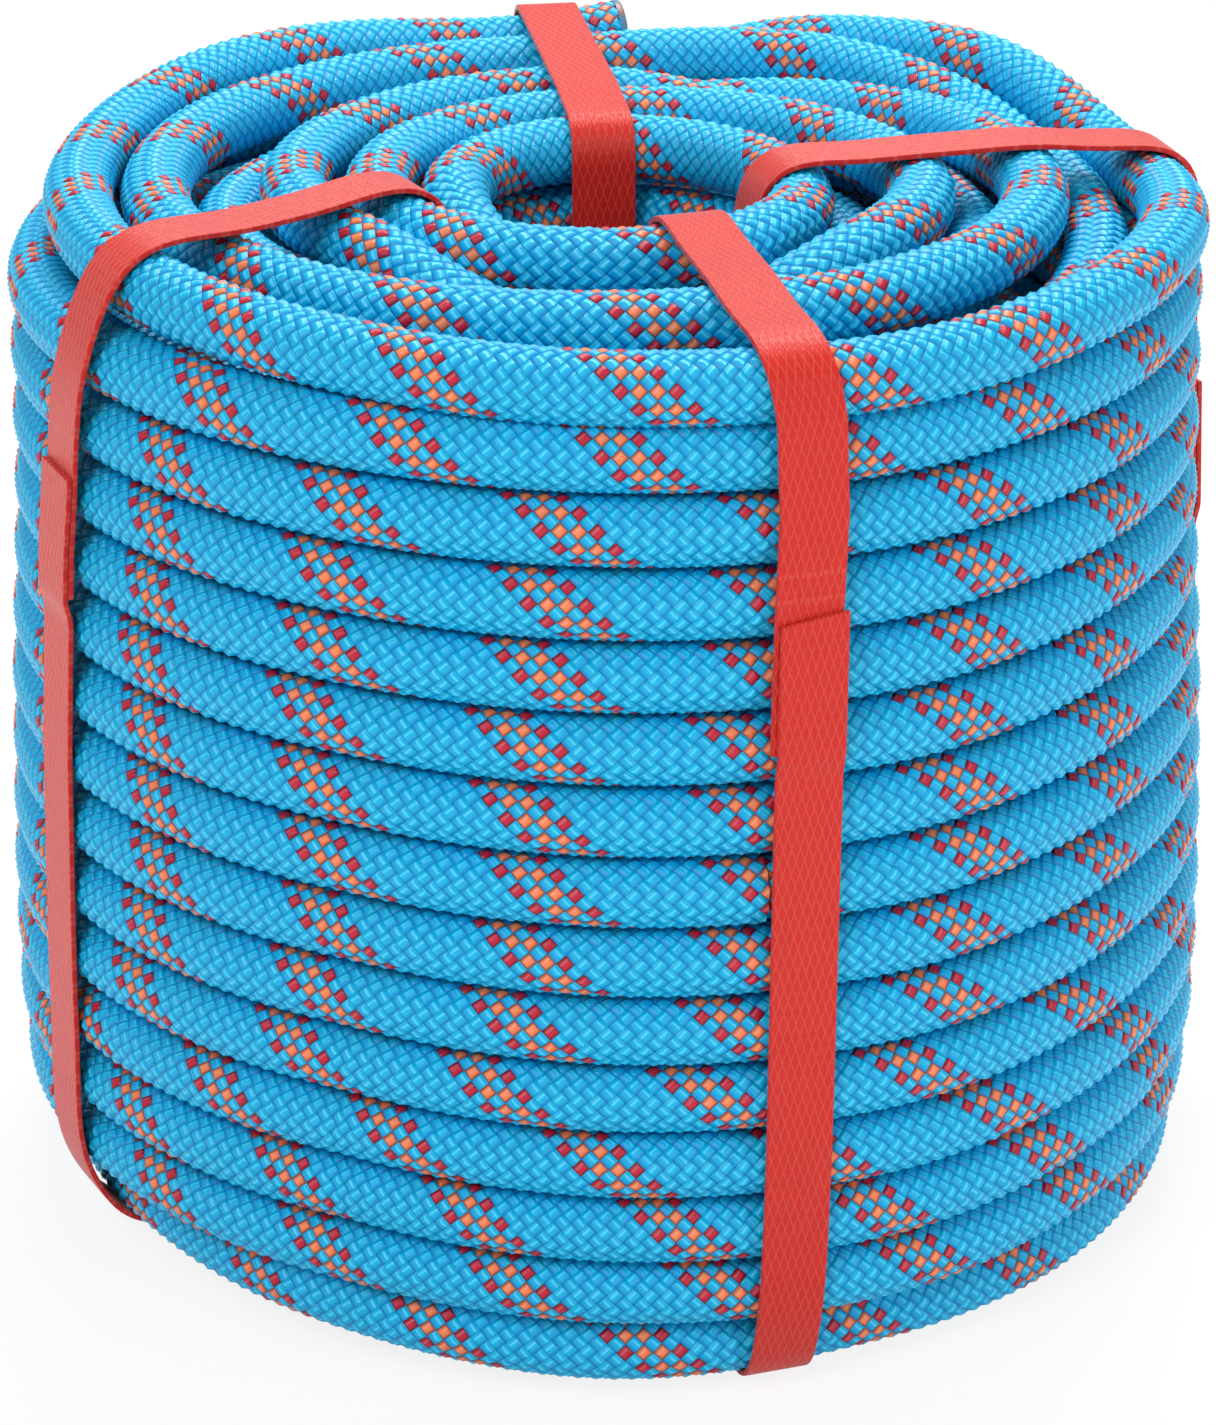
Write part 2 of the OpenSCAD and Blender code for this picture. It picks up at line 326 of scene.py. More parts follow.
# Where the tracer lies in each outer turn, in degrees past a multiple of 20, at the front left and
# the front right, from the top down. The pull on the rope as it was wound shifts it a little.
# A turn's two shifts hold between these degrees after its start: from, to, from, to.
tracerStretches = [75, 130, 200, 285]
tracerShift = [
    [16.4, 12.8], [14.2, 11.5], [8.6, 6.4], [6.7, 6.4], [5.8, 6.1], [4.4, 4.3], [4.8, 4.6], [5.4, 6.1],
    [5.7, 3.9], [4.1, 3], [2.1, -0.1], [12.8, 9.5], [1, -4.3], [4, 1.1], [14.7, 15.3]]


def braidPhase():
    # how many leads the braid has gone through, which sets where its tracer shows
    perLead = 360 / rope["leadsPerTurn"]
    turnStarts = coil["endAzimuth"] + 360 * np.arange(len(tracerShift))
    knots = np.add.outer(turnStarts, tracerStretches).ravel()
    shift = np.interp(routeAzimuth, knots, np.repeat(tracerShift, 2))
    phase = (routeAzimuth - shift) / perLead
    end = np.searchsorted(routeAzimuth, marks["outerEnd"])
    phase[end:] = phase[end] + (routeAlong[end:] - routeAlong[end]) / lead
    return phase


routePhase = braidPhase()


def routeAt(phases):
    # the rope's middle at these phases, and its directions there, away from the hole's axis and up
    heading = np.gradient(routePoints, routeAlong, axis=0)
    where, ahead = [
        np.stack([np.interp(phases, routePhase, track[:, k]) for k in range(3)], axis=1)
        for track in (routePoints, heading)]
    ahead /= np.linalg.norm(ahead, axis=1)[:, None]
    azimuth = np.radians(np.interp(phases, routePhase, routeAzimuth))
    out = np.stack([np.cos(azimuth), np.sin(azimuth), 0 * azimuth], axis=1)
    out -= (out * ahead).sum(1)[:, None] * ahead
    out /= np.linalg.norm(out, axis=1)[:, None]
    return where, out, np.cross(out, ahead)


def phaseAt(azimuth):
    return float(np.interp(azimuth, routeAzimuth, routePhase))


def tubePoints(phases, sides, radius):
    where, out, up = routeAt(phases)
    angle = 2 * math.pi * np.arange(sides) / sides
    spread = np.cos(angle)[None, :, None] * out[:, None] + np.sin(angle)[None, :, None] * up[:, None]
    return where, where[:, None] + radius * spread


def tileUvs(across, along, acrossCount, alongCount):
    # each face's corners in one tile of the braid, once round the rope by one lead
    u = (across - acrossCount * (across.min(1) // acrossCount)[:, None]) / acrossCount
    v = (along - alongCount * (along.min(1) // alongCount)[:, None]) / alongCount
    return np.stack([u, v], axis=-1).reshape(-1, 2)


def tubePiece(name, points, faces, uvs, material):
    mesh = bpy.data.meshes.new(name)
    mesh.from_pydata(points.reshape(-1, 3).tolist(), [], faces)
    layer = mesh.uv_layers.new(name="OFBake")
    layer.uv.foreach_set("vector", uvs.reshape(-1).astype(np.float32))
    mesh.update()
    return addPiece(name, mesh, material)


def sheathSection(name, startPhase, endPhase, material):
    # the braided surface: each crossing of two strands is a crown with four pits round it
    count = rope["strands"]
    rings = np.arange(math.ceil(startPhase * count), math.floor(endPhase * count) + 1)
    crown = (rings[:, None] + np.arange(count)[None, :]) % 2
    radius = (rope["diameter"] / 2 - rope["relief"] * (1 - crown[..., None])) * mm
    _, points = tubePoints(rings / count, count, radius)
    k, m = np.nonzero(crown)
    faces, uvs = [], []
    sides = [(1, 0), (0, 1), (-1, 0), (0, -1)]
    for one, other in zip(sides, sides[1:] + sides[:1]):
        ks = np.stack([k, k + one[0], k + other[0]], axis=1)
        ms = np.stack([m, m + one[1], m + other[1]], axis=1)
        keep = (ks.min(1) >= 0) & (ks.max(1) < len(rings))
        ks, ms = ks[keep], ms[keep]
        faces.append(ks * count + ms % count)
        uvs.append(tileUvs(ms, ks + rings[0], count, count))
    return tubePiece(name, points, np.concatenate(faces).tolist(), np.concatenate(uvs), material)


def ropeLine(name, startPhase, endPhase, material):
    # the full length of the rope, a little thinner than its sheath, with both ends closed
    sides, perLead = 16, 4
    rings = np.arange(math.ceil(startPhase * perLead), math.floor(endPhase * perLead) + 1)
    where, points = tubePoints(rings / perLead, sides, rope["lineShare"] * rope["diameter"] * mm)
    grid = np.meshgrid(np.arange(len(rings) - 1), np.arange(sides), indexing="ij")
    k, m = grid[0].ravel(), grid[1].ravel()
    ks, ms = np.stack([k, k + 1, k + 1, k], axis=1), np.stack([m, m, m + 1, m + 1], axis=1)
    faces = (ks * sides + ms % sides).tolist()
    last = (len(rings) - 1) * sides
    faces += [list(range(sides)), list(range(last + sides - 1, last - 1, -1))]
    uvs = np.concatenate([tileUvs(ms, ks + rings[0], sides, perLead), np.full((2 * sides, 2), 0.5)])
    return tubePiece(name, points, faces, uvs, material), where


# Sheath: braided polyester yarn, whose flat strands arch over each other. Across each crown lies a
# bright line of painted highlight, and the hollows between the strands are painted shade.

braid = {
    "blue": "#00AFE0",
    # the strands of the other way are the same yarn, painted a little darker: painted shade where their
    # fibres catch less light
    "shadedOtherBlue": "#00AADC",
    "orange": "#F68456",
    "crimson": "#C61A3A",
    "paintedHighlight": "#447C78",     # painted highlight, added along the bright line
    "tracerPaintedHighlight": 0.35,    # share of the painted highlight on the tracer yarn, which is duller
    "paintedHighlightAt": 0.66,        # where along a crown the painted highlight lies, so that the lines link in zigzags
    "paintedHighlightFade": [0.14, 0.01],              # of the painted highlight: from its edge to its full light, and its shape
    "paintedHighlightPowers": [1.5, 16.0],             # along and across
    "paintedHollowShade": "#9CC4E8",    # painted shade, times the yarn's colour, where a strand comes up from under another
    "paintedHollowShadeLength": 0.34,   # share of a crown
    "tracerEdgeShade": "#5C3C50",                # and painted shade all round the tracer's crowns, whose yarn is slacker
    "rimShadePowers": [2.4, 4.0],               # along and across
    "bump": 0.6,            # mm
    "sideFall": [0.35, 6.0],                # of a crown to its sides and its ends: [share, power]
    "endFall": [0.65, 1.8],
    "threads": 6,           # yarns side by side in one strand, coarser than real ones, so they show
    "threadSlant": 0.12,
    "threadHeight": 0.02,
    "roughness": 0.36,
    "specular": 0.35,
}


def sheathMaterial():
    material, tree = newMaterial("braidedPolyesterSheath")
    uv = addNode(tree, "ShaderNodeUVMap", uv_map="OFBake")
    half = rope["strands"] / 2
    # turns the tile by 45 degrees, so that the strands of one way have a constant x, the others y
    grid = addNode(tree, "ShaderNodeMapping", {
        "Vector": uv, "Location": (0, 2, 0), "Rotation": (0, 0, math.radians(45)),
        "Scale": (half * math.sqrt(2), half * math.sqrt(2), 1)})
    axes = addNode(tree, "ShaderNodeSeparateXYZ", [grid])
    i, j = axes.outputs[0], axes.outputs[1]
    floorI, floorJ = [addNode(tree, "ShaderNodeMath", [axis], operation="FLOOR") for axis in (i, j)]
    fractI, fractJ = [addNode(tree, "ShaderNodeMath", [axis], operation="FRACT") for axis in (i, j)]
    cells = addNode(tree, "ShaderNodeMath", [floorI, floorJ], operation="ADD")
    over = addNode(tree, "ShaderNodeMath", [cells, 2.0], operation="FLOORED_MODULO")
    across, along = [
        addNode(tree, "ShaderNodeMix", {0: over, 2: a, 3: b}, data_type="FLOAT")
        for a, b in ((fractJ, fractI), (fractI, fractJ))]

    def fromMiddle(value, power, middle=0.5):
        offset = addNode(tree, "ShaderNodeMath", [value, middle], operation="SUBTRACT")
        doubled = addNode(tree, "ShaderNodeMath", [offset, 2.0], operation="MULTIPLY")
        distance = addNode(tree, "ShaderNodeMath", [doubled], operation="ABSOLUTE")
        return addNode(tree, "ShaderNodeMath", [distance, power], operation="POWER")

    # each strand is highest in the middle of its crown, with its yarns side by side
    falls = (across, braid["sideFall"]), (along, braid["endFall"])
    flank, arch = [
        addNode(tree, "ShaderNodeMath", [fromMiddle(value, power), share], operation="MULTIPLY")
        for value, (share, power) in falls]
    ridge = addNode(tree, "ShaderNodeMath", [1.0, flank], operation="SUBTRACT")
    crown = addNode(tree, "ShaderNodeMath", [ridge, arch], operation="SUBTRACT")
    slant = addNode(tree, "ShaderNodeMath", [along, braid["threadSlant"], across],
                    operation="MULTIPLY_ADD")
    around = addNode(tree, "ShaderNodeMath", [slant, 2 * math.pi * braid["threads"]],
                     operation="MULTIPLY")
    threads = addNode(tree, "ShaderNodeMath", [around], operation="SINE")
    height = addNode(tree, "ShaderNodeMath", [threads, braid["threadHeight"], crown],
                     operation="MULTIPLY_ADD")
    bump = addNode(tree, "ShaderNodeBump", {
        "Height": height, "Strength": 1.0, "Distance": braid["bump"] * mm})

    # four strands of one way are the tracer: crimson, two of orange, crimson
    laps = addNode(tree, "ShaderNodeMath", [j, half], operation="DIVIDE")
    tracer = addNode(tree, "ShaderNodeMath", [laps], operation="FRACT")
    colors = addNode(tree, "ShaderNodeValToRGB", [tracer])
    blueStart = 4 / half - 0.002    # a little early, because a ramp's stops are rounded
    setRamp(colors, [
        (0.0, braid["crimson"]), (1 / half, braid["orange"]), (3 / half, braid["crimson"]),
        (blueStart, braid["blue"])], "CONSTANT")
    # the strands of one way get the painted shade, a little darker blue than the others
    strand = addNode(tree, "ShaderNodeMix", {
        0: over, 6: colors, 7: hexToLinear(braid["shadedOtherBlue"])}, data_type="RGBA")
    past = addNode(tree, "ShaderNodeMath", [tracer, 4 / half], operation="GREATER_THAN")
    blueness = addNode(tree, "ShaderNodeMath", [over, past], operation="MAXIMUM")

    # painted shade in the hollows between the strands
    alongPower, acrossPower = braid["rimShadePowers"]
    rimShade = addNode(tree, "ShaderNodeMath", [
        fromMiddle(across, acrossPower), fromMiddle(along, alongPower)], operation="MAXIMUM")
    paintedHollowShade = addNode(tree, "ShaderNodeMapRange", {
        "Value": along, "From Min": braid["paintedHollowShadeLength"], "From Max": 0.0})
    paintedShadeColor = addNode(tree, "ShaderNodeMix", {
        0: blueness, 6: hexToLinear(braid["tracerEdgeShade"]), 7: hexToLinear(braid["paintedHollowShade"])},
        data_type="RGBA")
    # how much of that painted shade each spot takes
    depth = addNode(tree, "ShaderNodeMix", {0: blueness, 2: rimShade, 3: paintedHollowShade}, data_type="FLOAT")
    shaded = addNode(tree, "ShaderNodeMix", {
        0: depth, 6: strand.outputs[2], 7: paintedShadeColor.outputs[2]},
        data_type="RGBA", blend_type="MULTIPLY")

    # and the painted highlight, a bright line across each crown
    paintedHighlightStrength = addNode(tree, "ShaderNodeMapRange", {
        "Value": blueness, "To Min": braid["tracerPaintedHighlight"], "To Max": 1.0})
    alongPower, acrossPower = braid["paintedHighlightPowers"]
    aside = addNode(tree, "ShaderNodeMath", [
        fromMiddle(along, alongPower, braid["paintedHighlightAt"]), fromMiddle(across, acrossPower)],
        operation="ADD")
    edge, full = braid["paintedHighlightFade"]
    line = addNode(tree, "ShaderNodeMapRange", {"Value": aside, "From Min": edge, "From Max": full})
    paintedHighlight = addNode(tree, "ShaderNodeMath", [line, paintedHighlightStrength], operation="MULTIPLY")
    # the painted highlight is added to the yarn's colour
    withPaintedHighlight = addNode(tree, "ShaderNodeMix", {
        0: paintedHighlight, 6: shaded.outputs[2], 7: hexToLinear(braid["paintedHighlight"])},
        data_type="RGBA", blend_type="ADD")
    finishMaterial(tree, {
        "Base Color": withPaintedHighlight.outputs[2], "Normal": bump, "Roughness": braid["roughness"],
        "Specular IOR Level": braid["specular"]})
    return material


# Core: white twisted polyamide, matt and fibrous, seen only where the rope is cut.

core = {
    "color": "#ECE9E2",
    "shadow": "#B9B2A6",
    "roughness": 0.9,
    "specular": 0.2,
    # mm
    "fibre": 0.35,
    "bump": 0.15,
    "radius": 1.5,          # of a strand
    "circle": 3.05,         # radius on which six of them lie round the seventh
    "depth": 9,
    "recess": 0.7,          # from the cut back to their ends
    "roundedEdge": 0.5,
}


def coreMaterial():
    material, tree = newMaterial("twistedPolyamideCore")
    place = addNode(tree, "ShaderNodeTexCoord").outputs["Object"]
    fibres = addNode(tree, "ShaderNodeTexNoise", {
        "Vector": place, "Scale": 1 / (core["fibre"] * mm), "Detail": 3.0})
    colors = addNode(tree, "ShaderNodeValToRGB", [fibres])
    setRamp(colors, [(0.35, core["shadow"]), (0.65, core["color"])], "LINEAR")
    bump = addNode(tree, "ShaderNodeBump", {
        "Height": fibres, "Strength": 0.8, "Distance": core["bump"] * mm})
    finishMaterial(tree, {
        "Base Color": colors, "Normal": bump, "Roughness": core["roughness"],
        "Specular IOR Level": core["specular"]})
    return material


# Fused edge: where the sheath was cut with a hot knife, its strands melted into a hard brown-blue
# rim with a dull gloss.

fused = {
    "color": "#3F86A6",
    "scorch": "#8E5644",
    "roughness": 0.35,
    # mm
    "blot": 2.6,
    "bump": 0.25,
    # [distance inward from the cut, radius]
    "profile": [
        (1.1, 6.28), (0.4, 6.42), (-0.15, 6.3), (-0.4, 5.7), (-0.25, 5.1), (0.3, 4.75), (3.5, 4.7)],
}


def fusedMaterial():
    material, tree = newMaterial("fusedPolyesterEdge")
    place = addNode(tree, "ShaderNodeTexCoord").outputs["Object"]
    blots = addNode(tree, "ShaderNodeTexNoise", {
        "Vector": place, "Scale": 1 / (fused["blot"] * mm), "Detail": 3.0})
    colors = addNode(tree, "ShaderNodeValToRGB", [blots])
    setRamp(colors, [(0.42, fused["color"]), (0.58, fused["scorch"])], "LINEAR")
    bump = addNode(tree, "ShaderNodeBump", {
        "Height": blots, "Strength": 0.6, "Distance": fused["bump"] * mm})
    finishMaterial(tree, {"Base Color": colors, "Normal": bump, "Roughness": fused["roughness"]})
    return material


def endPiece(name, phase, bm, material):
    # a piece built round the X axis, moved to the cut end, where X leads into the rope
    where, out, up = routeAt(np.array([phase, phase + 0.02]))
    inward = Vector(where[1] - where[0]).normalized()
    turned = Matrix((inward, Vector(out[0]), Vector(up[0]))).transposed().to_4x4()
    bmesh.ops.transform(bm, matrix=Matrix.Translation(Vector(where[0])) @ turned, verts=bm.verts)
    bmesh.ops.recalc_face_normals(bm, faces=bm.faces)
    return addPiece(name, meshFrom(bm, name), material)


def fusedEdge(phase):
    bm = bmesh.new()
    verts = [bm.verts.new((x * mm, r * mm, 0)) for x, r in fused["profile"]]
    edges = [bm.edges.new(pair) for pair in zip(verts, verts[1:])]
    bmesh.ops.spin(
        bm, geom=verts + edges, axis=(1, 0, 0), cent=(0, 0, 0), steps=48, angle=2 * math.pi)
    bmesh.ops.remove_doubles(bm, verts=bm.verts, dist=0.01 * mm)
    return endPiece("fusedSheathEdge", phase, bm, fusedMaterial())


def coreStrands(phase):
    bm = bmesh.new()
    around = np.radians(np.arange(0, 360, 60))
    spots = [(0, 0)] + [(core["circle"] * math.cos(t), core["circle"] * math.sin(t)) for t in around]
    radius, depth = core["radius"] * mm, core["depth"] * mm
    for y, z in spots:
        middle = Matrix.Translation(((core["recess"] + core["depth"] / 2) * mm, y * mm, z * mm))
        made = bmesh.ops.create_cone(
            bm, cap_ends=True, segments=24, radius1=radius, radius2=radius, depth=depth,
            matrix=middle @ Matrix.Rotation(math.pi / 2, 4, "Y"))
        rims = {e for v in made["verts"] for e in v.link_edges if e.calc_length() < radius}
        bmesh.ops.bevel(bm, geom=list(rims), offset=core["roundedEdge"] * mm, segments=3,
                        affect="EDGES", profile=0.5, material=-1)
    return endPiece("coreStrands", phase, bm, coreMaterial())


# Straps: flat woven polyester, satin, with a net of fine raised strokes where the warp floats
# cross, painted lighter as a painted highlight, and two dotted rows where the ends are welded.

strap = {
    "color": "#C0120A",
    "floatColor": "#D22618",
    # painted highlight on the raised strokes, and on the welded dots
    "strokeHighlight": "#F0705A",
    "strokeHighlightShare": 0.28,    # of that painted highlight in a stroke
    "strokeFade": [0.36, 0.48],             # from its edge to its full height
    "strokeRelief": 0.8,    # shares of the bump
    "ribRelief": 0.2,
    "roughness": 0.4,
    "specular": 0.3,
    "sheen": 0.22,
    "sheenRoughness": 0.35,
    # mm
    "width": 11.8,
    "thickness": 1.0,
    "clearance": 0.05,      # from the rope, and from the under end
    "softEdge": 0.22,
    "cell": [1.5, 4.6],     # the net's meshes across and along
    "ribs": 0.47,           # between warp ribs
    "streak": [0.5, 9],     # of lighter and darker yarn, across and along
    "bump": 0.11,
    "lap": 23.5,            # of under end beneath the outer end
    "welds": [26.7, 31],    # from the under end, the dotted rows
    "weldDots": 1.0,        # from dot to dot
    "weldHeight": 0.35,     # half of a dotted row's
    "stepUp": 5,            # over which the outer end climbs onto the under end
    "slantLength": 25,      # over which the cut's slant fades
    "strayLength": 70,      # over which the under end strays
    "step": 0.5,            # between the points of a strap's path
    "rowLength": 1.5,       # of its faces
}
# In rope diameters, shift moves a strap's plane aside, inner is the least radius of the turns that
# it goes round, top is its outer end's height, and inHole and drift say how far aside the band
# lies in the hole and at [height, aside] up the outside. In mm, bend is the length over which
# the stiff webbing eases into a bend, slant is the outer end's and stray the under end's.
straps = {
    "front": {
        "angle": 288, "shift": 0, "inner": 0, "bend": 9, "top": 11.6, "slant": 1.6, "stray": 0.9,
        "inHole": 0.2,
        "drift": [[0, -0.25], [6, -0.14], [11.5, -0.04], [13, 0], [14.2, -0.08], [15.4, -0.27]]},
    "right": {
        "angle": 15.7, "shift": 0.88, "inner": 0, "bend": 8, "top": 11.4, "slant": -1.2, "stray": 0,
        "inHole": 0, "drift": [[0, 0]]},
    "back": {
        "angle": 98.7, "shift": 0.24, "inner": 0, "bend": 3, "top": 11.2, "slant": 0.8, "stray": 0,
        "inHole": 0, "drift": [[0, 0]]},
    "left": {
        "angle": 208, "shift": 0, "inner": 2.9, "bend": 12, "top": 12.25, "slant": -0.7, "stray": 0,
        "inHole": 0,
        "drift": [[0, 0.15], [8, 0.2], [11, 0.42], [12.5, 0.68], [14, 1.1], [15.4, 1.25]]},
}


def strapMaterial():
    material, tree = newMaterial("wovenPolyesterStrapping")
    uv = addNode(tree, "ShaderNodeUVMap", uv_map="weave")
    axes = addNode(tree, "ShaderNodeSeparateXYZ", [uv])
    x, y = axes.outputs[0], axes.outputs[1]

    def wave(spacing):
        turns = addNode(tree, "ShaderNodeMath", [x, 2 * math.pi / (spacing * mm)], operation="MULTIPLY")
        return addNode(tree, "ShaderNodeMath", [turns], operation="SINE")

    wide, tall = strap["cell"]
    columns = addNode(tree, "ShaderNodeMath", [x, wide * mm], operation="DIVIDE")
    rows = addNode(tree, "ShaderNodeMath", [y, tall * mm], operation="DIVIDE")
    edge, full = strap["strokeFade"]
    strokes = []
    for operation in ("ADD", "SUBTRACT"):
        slanted = addNode(tree, "ShaderNodeMath", [columns, rows], operation=operation)
        inCell = addNode(tree, "ShaderNodeMath", [slanted], operation="FRACT")
        offset = addNode(tree, "ShaderNodeMath", [inCell, 0.5], operation="SUBTRACT")
        centred = addNode(tree, "ShaderNodeMath", [offset], operation="ABSOLUTE")
        strokes.append(addNode(tree, "ShaderNodeMapRange", {
            "Value": centred, "From Min": edge, "From Max": full}))
    net = addNode(tree, "ShaderNodeMath", strokes, operation="MAXIMUM")
    dots = addNode(tree, "ShaderNodeMath", [wave(strap["weldDots"]), 0.0], operation="GREATER_THAN")
    for row in strap["welds"]:
        near = addNode(tree, "ShaderNodeMath", [y, row * mm, strap["weldHeight"] * mm],
                       operation="COMPARE")
        dotted = addNode(tree, "ShaderNodeMath", [near, dots], operation="MULTIPLY")
        net = addNode(tree, "ShaderNodeMath", [net, dotted], operation="MAXIMUM")

    wide, tall = strap["streak"]
    place = addNode(tree, "ShaderNodeMapping", {
        "Vector": uv, "Scale": (1 / (wide * mm), 1 / (tall * mm), 1)})
    streaks = addNode(tree, "ShaderNodeTexNoise", {"Vector": place, "Scale": 1.0, "Detail": 2.0})
    floats = addNode(tree, "ShaderNodeMix", {
        0: streaks, 6: hexToLinear(strap["color"]), 7: hexToLinear(strap["floatColor"])},
        data_type="RGBA")
    # the strokes are painted lighter, a painted highlight where they catch the light; the welded dots
    # are real marks that take the same lighter colour
    strokeHighlightShare = addNode(tree, "ShaderNodeMath", [net, strap["strokeHighlightShare"]], operation="MULTIPLY")
    colors = addNode(tree, "ShaderNodeMix", {
        0: strokeHighlightShare, 6: floats.outputs[2], 7: hexToLinear(strap["strokeHighlight"])},
        data_type="RGBA")
    raised = addNode(tree, "ShaderNodeMath", [net, strap["strokeRelief"]], operation="MULTIPLY")
    height = addNode(tree, "ShaderNodeMath", [wave(strap["ribs"]), strap["ribRelief"], raised],
                     operation="MULTIPLY_ADD")
    bump = addNode(tree, "ShaderNodeBump", {
        "Height": height, "Strength": 1.0, "Distance": strap["bump"] * mm})
    finishMaterial(tree, {
        "Base Color": colors.outputs[2], "Normal": bump, "Roughness": strap["roughness"],
        "Specular IOR Level": strap["specular"], "Sheen Weight": strap["sheen"],
        "Sheen Roughness": strap["sheenRoughness"]})
    return material


def crossings(angle, sideways, inner):
    # where the rope goes through an upright plane: distances from the axis and heights
    turn = math.radians(angle)
    ahead = routePoints[:, 0] * math.cos(turn) + routePoints[:, 1] * math.sin(turn)
    aside = routePoints[:, 1] * math.cos(turn) - routePoints[:, 0] * math.sin(turn) - sideways
    at = np.nonzero(np.diff(np.sign(aside)))[0]
    share = aside[at] / (aside[at] - aside[at + 1])
    height = routePoints[:, 2]
    found = np.stack([
        track[at] + share * (track[at + 1] - track[at]) for track in (ahead, height)], axis=1)
    return found[found[:, 0] > max(inner, 1) * rope["diameter"] * mm]


def hullOf(points):
    # the convex hull of flat points, anticlockwise
    points = points[np.lexsort((points[:, 1], points[:, 0]))].tolist()

    def chain(row):
        kept = []
        for p in row:
            while len(kept) > 1 and (kept[-1][0] - kept[-2][0]) * (p[1] - kept[-2][1]) <= (
                    kept[-1][1] - kept[-2][1]) * (p[0] - kept[-2][0]):
                kept.pop()
            kept.append(p)
        return kept[:-1]
    return np.array(chain(points) + chain(points[::-1]))


def strapLoop(settings):
    # the tight loop round every turn that the strap crosses, clear of them at both its edges. It
    # starts halfway up the outer leg and goes up, over the top and down the hole.
    away = (strap["thickness"] / 2 + strap["clearance"]) * mm
    angle = np.radians(np.arange(0, 360, 5))
    ring = (ropeSize / 2 + away) * np.stack([np.cos(angle), np.sin(angle)], axis=1)
    circles = []
    for offset in (-0.5, 0, 0.5):
        sideways = -settings["shift"] * ropeSize + offset * strap["width"] * mm
        found = crossings(settings["angle"], sideways, settings["inner"])
        circles.append((found[:, None] + ring[None]).reshape(-1, 2))
    loop = hullOf(np.concatenate(circles))
    closed = np.concatenate([loop, loop[:1]])
    steps = np.concatenate([[0], np.cumsum(np.linalg.norm(np.diff(closed, axis=0), axis=1))])
    places = np.arange(0, steps[-1], strap["step"] * mm)
    fine = np.stack([np.interp(places, steps, closed[:, k]) for k in (0, 1)], axis=1)
    # the webbing is too stiff to fold, so it rounds each corner and stands off a little beside it
    reach = int(settings["bend"] / strap["step"])
    count = len(fine)
    wrapped = np.concatenate([fine, fine, fine])
    eased = np.stack([runningMean(wrapped[:, k], reach)[count:2 * count] for k in (0, 1)], axis=1)
    ahead = np.roll(eased, -1, axis=0) - np.roll(eased, 1, axis=0)
    ahead /= np.linalg.norm(ahead, axis=1)[:, None]
    normal = np.stack([ahead[:, 1], -ahead[:, 0]], axis=1)
    cut = np.maximum(((fine - eased) * normal).sum(1), 0)
    cut = np.max([np.roll(cut, k) for k in range(-reach, reach + 1)], axis=0)
    cut = runningMean(np.concatenate([cut, cut, cut]), reach)[count:2 * count]
    fine = eased + normal * cut[:, None]
    fine[:, 1] = np.maximum(fine[:, 1], away)
    outside = fine[:, 0] > fine[:, 0].max() - ropeSize / 2
    start = np.argmin(abs(fine[:, 1] - 0.5 * deckHeight * ropeSize) + (1 - outside))
    return np.roll(fine, -start, axis=0)


def strapBand(side, settings, material):
    loop = strapLoop(settings)
    step = strap["step"] * mm
    girth = len(loop) * step
    quarter = len(loop) // 4

    def alongAt(height):
        # how far along the loop the outer leg reaches this height
        legs = np.concatenate([np.arange(-quarter, 0), np.arange(quarter)])
        climb = loop[legs % len(loop), 1]
        low, high = np.argmin(climb), np.argmax(climb)
        return float(np.interp(height * ropeSize, climb[low:high], legs[low:high] * step))

    top = alongAt(settings["top"])
    tail, end = top - strap["lap"] * mm, girth + top
    rows = int((end - tail) / (strap["rowLength"] * mm))
    s = np.linspace(tail, end, rows + 1)
    knots = np.arange(-quarter, 2 * len(loop))
    track = loop[knots % len(loop)]
    x, z = [np.interp(s, knots * step, track[:, k]) for k in (0, 1)]
    ahead = np.stack([np.gradient(x), np.gradient(z)], axis=1)
    ahead /= np.linalg.norm(ahead, axis=1)[:, None]
    # the outer ply steps up onto the under end
    climbed = smoothStep((s - (girth + tail)) / (strap["stepUp"] * mm) + 1)
    over = climbed * (strap["thickness"] + strap["clearance"]) * mm
    x, z = x + ahead[:, 1] * over, z - ahead[:, 0] * over
    inHole, outside = settings["inHole"], np.array(settings["drift"])
    drift = np.interp(z, outside[:, 0] * ropeSize, outside[:, 1])
    drift = inHole + (drift - inHole) * smoothStep((x - x.min()) / (x.max() - x.min()))

    turn = math.radians(settings["angle"])
    outward = Vector((math.cos(turn), math.sin(turn), 0))
    aside = Vector((-math.sin(turn), math.cos(turn), 0))
    name = "strap" + side.title()
    bm = bmesh.new()
    bmesh.ops.create_grid(bm, x_segments=6, y_segments=rows, size=0.5)
    weave = bm.loops.layers.uv.new("weave")
    for vertex in bm.verts:
        row, across = int(round((vertex.co.y + 0.5) * rows)), vertex.co.x
        # the outer end is cut at a slant, and the under end strays to one side
        nearEnd = float(smoothStep(1 - (end - s[row]) / (strap["slantLength"] * mm)))
        nearTail = float(smoothStep(1 - (s[row] - tail) / (strap["strayLength"] * mm)))
        pull = settings["slant"] * mm * across * nearEnd
        stray = settings["stray"] * mm * nearTail
        sideways = (drift[row] - settings["shift"]) * ropeSize + across * strap["width"] * mm - stray
        vertex.co = outward * (x[row] + ahead[row, 0] * pull) + aside * sideways
        vertex.co.z = z[row] + ahead[row, 1] * pull
        for corner in vertex.link_loops:
            corner[weave].uv = ((across + 0.5) * strap["width"] * mm, s[row] - tail)
    band = addPiece(name, meshFrom(bm, name), material)
    solid = band.modifiers.new("thickness", "SOLIDIFY")
    solid.thickness, solid.offset = strap["thickness"] * mm, 0.0
    soft = band.modifiers.new("softEdges", "BEVEL")
    soft.width, soft.segments, soft.limit_method = strap["softEdge"] * mm, 2, "ANGLE"
    soft.affect, soft.profile, soft.material = "EDGES", 0.5, -1
    soft.harden_normals = True
    return band


# Camera

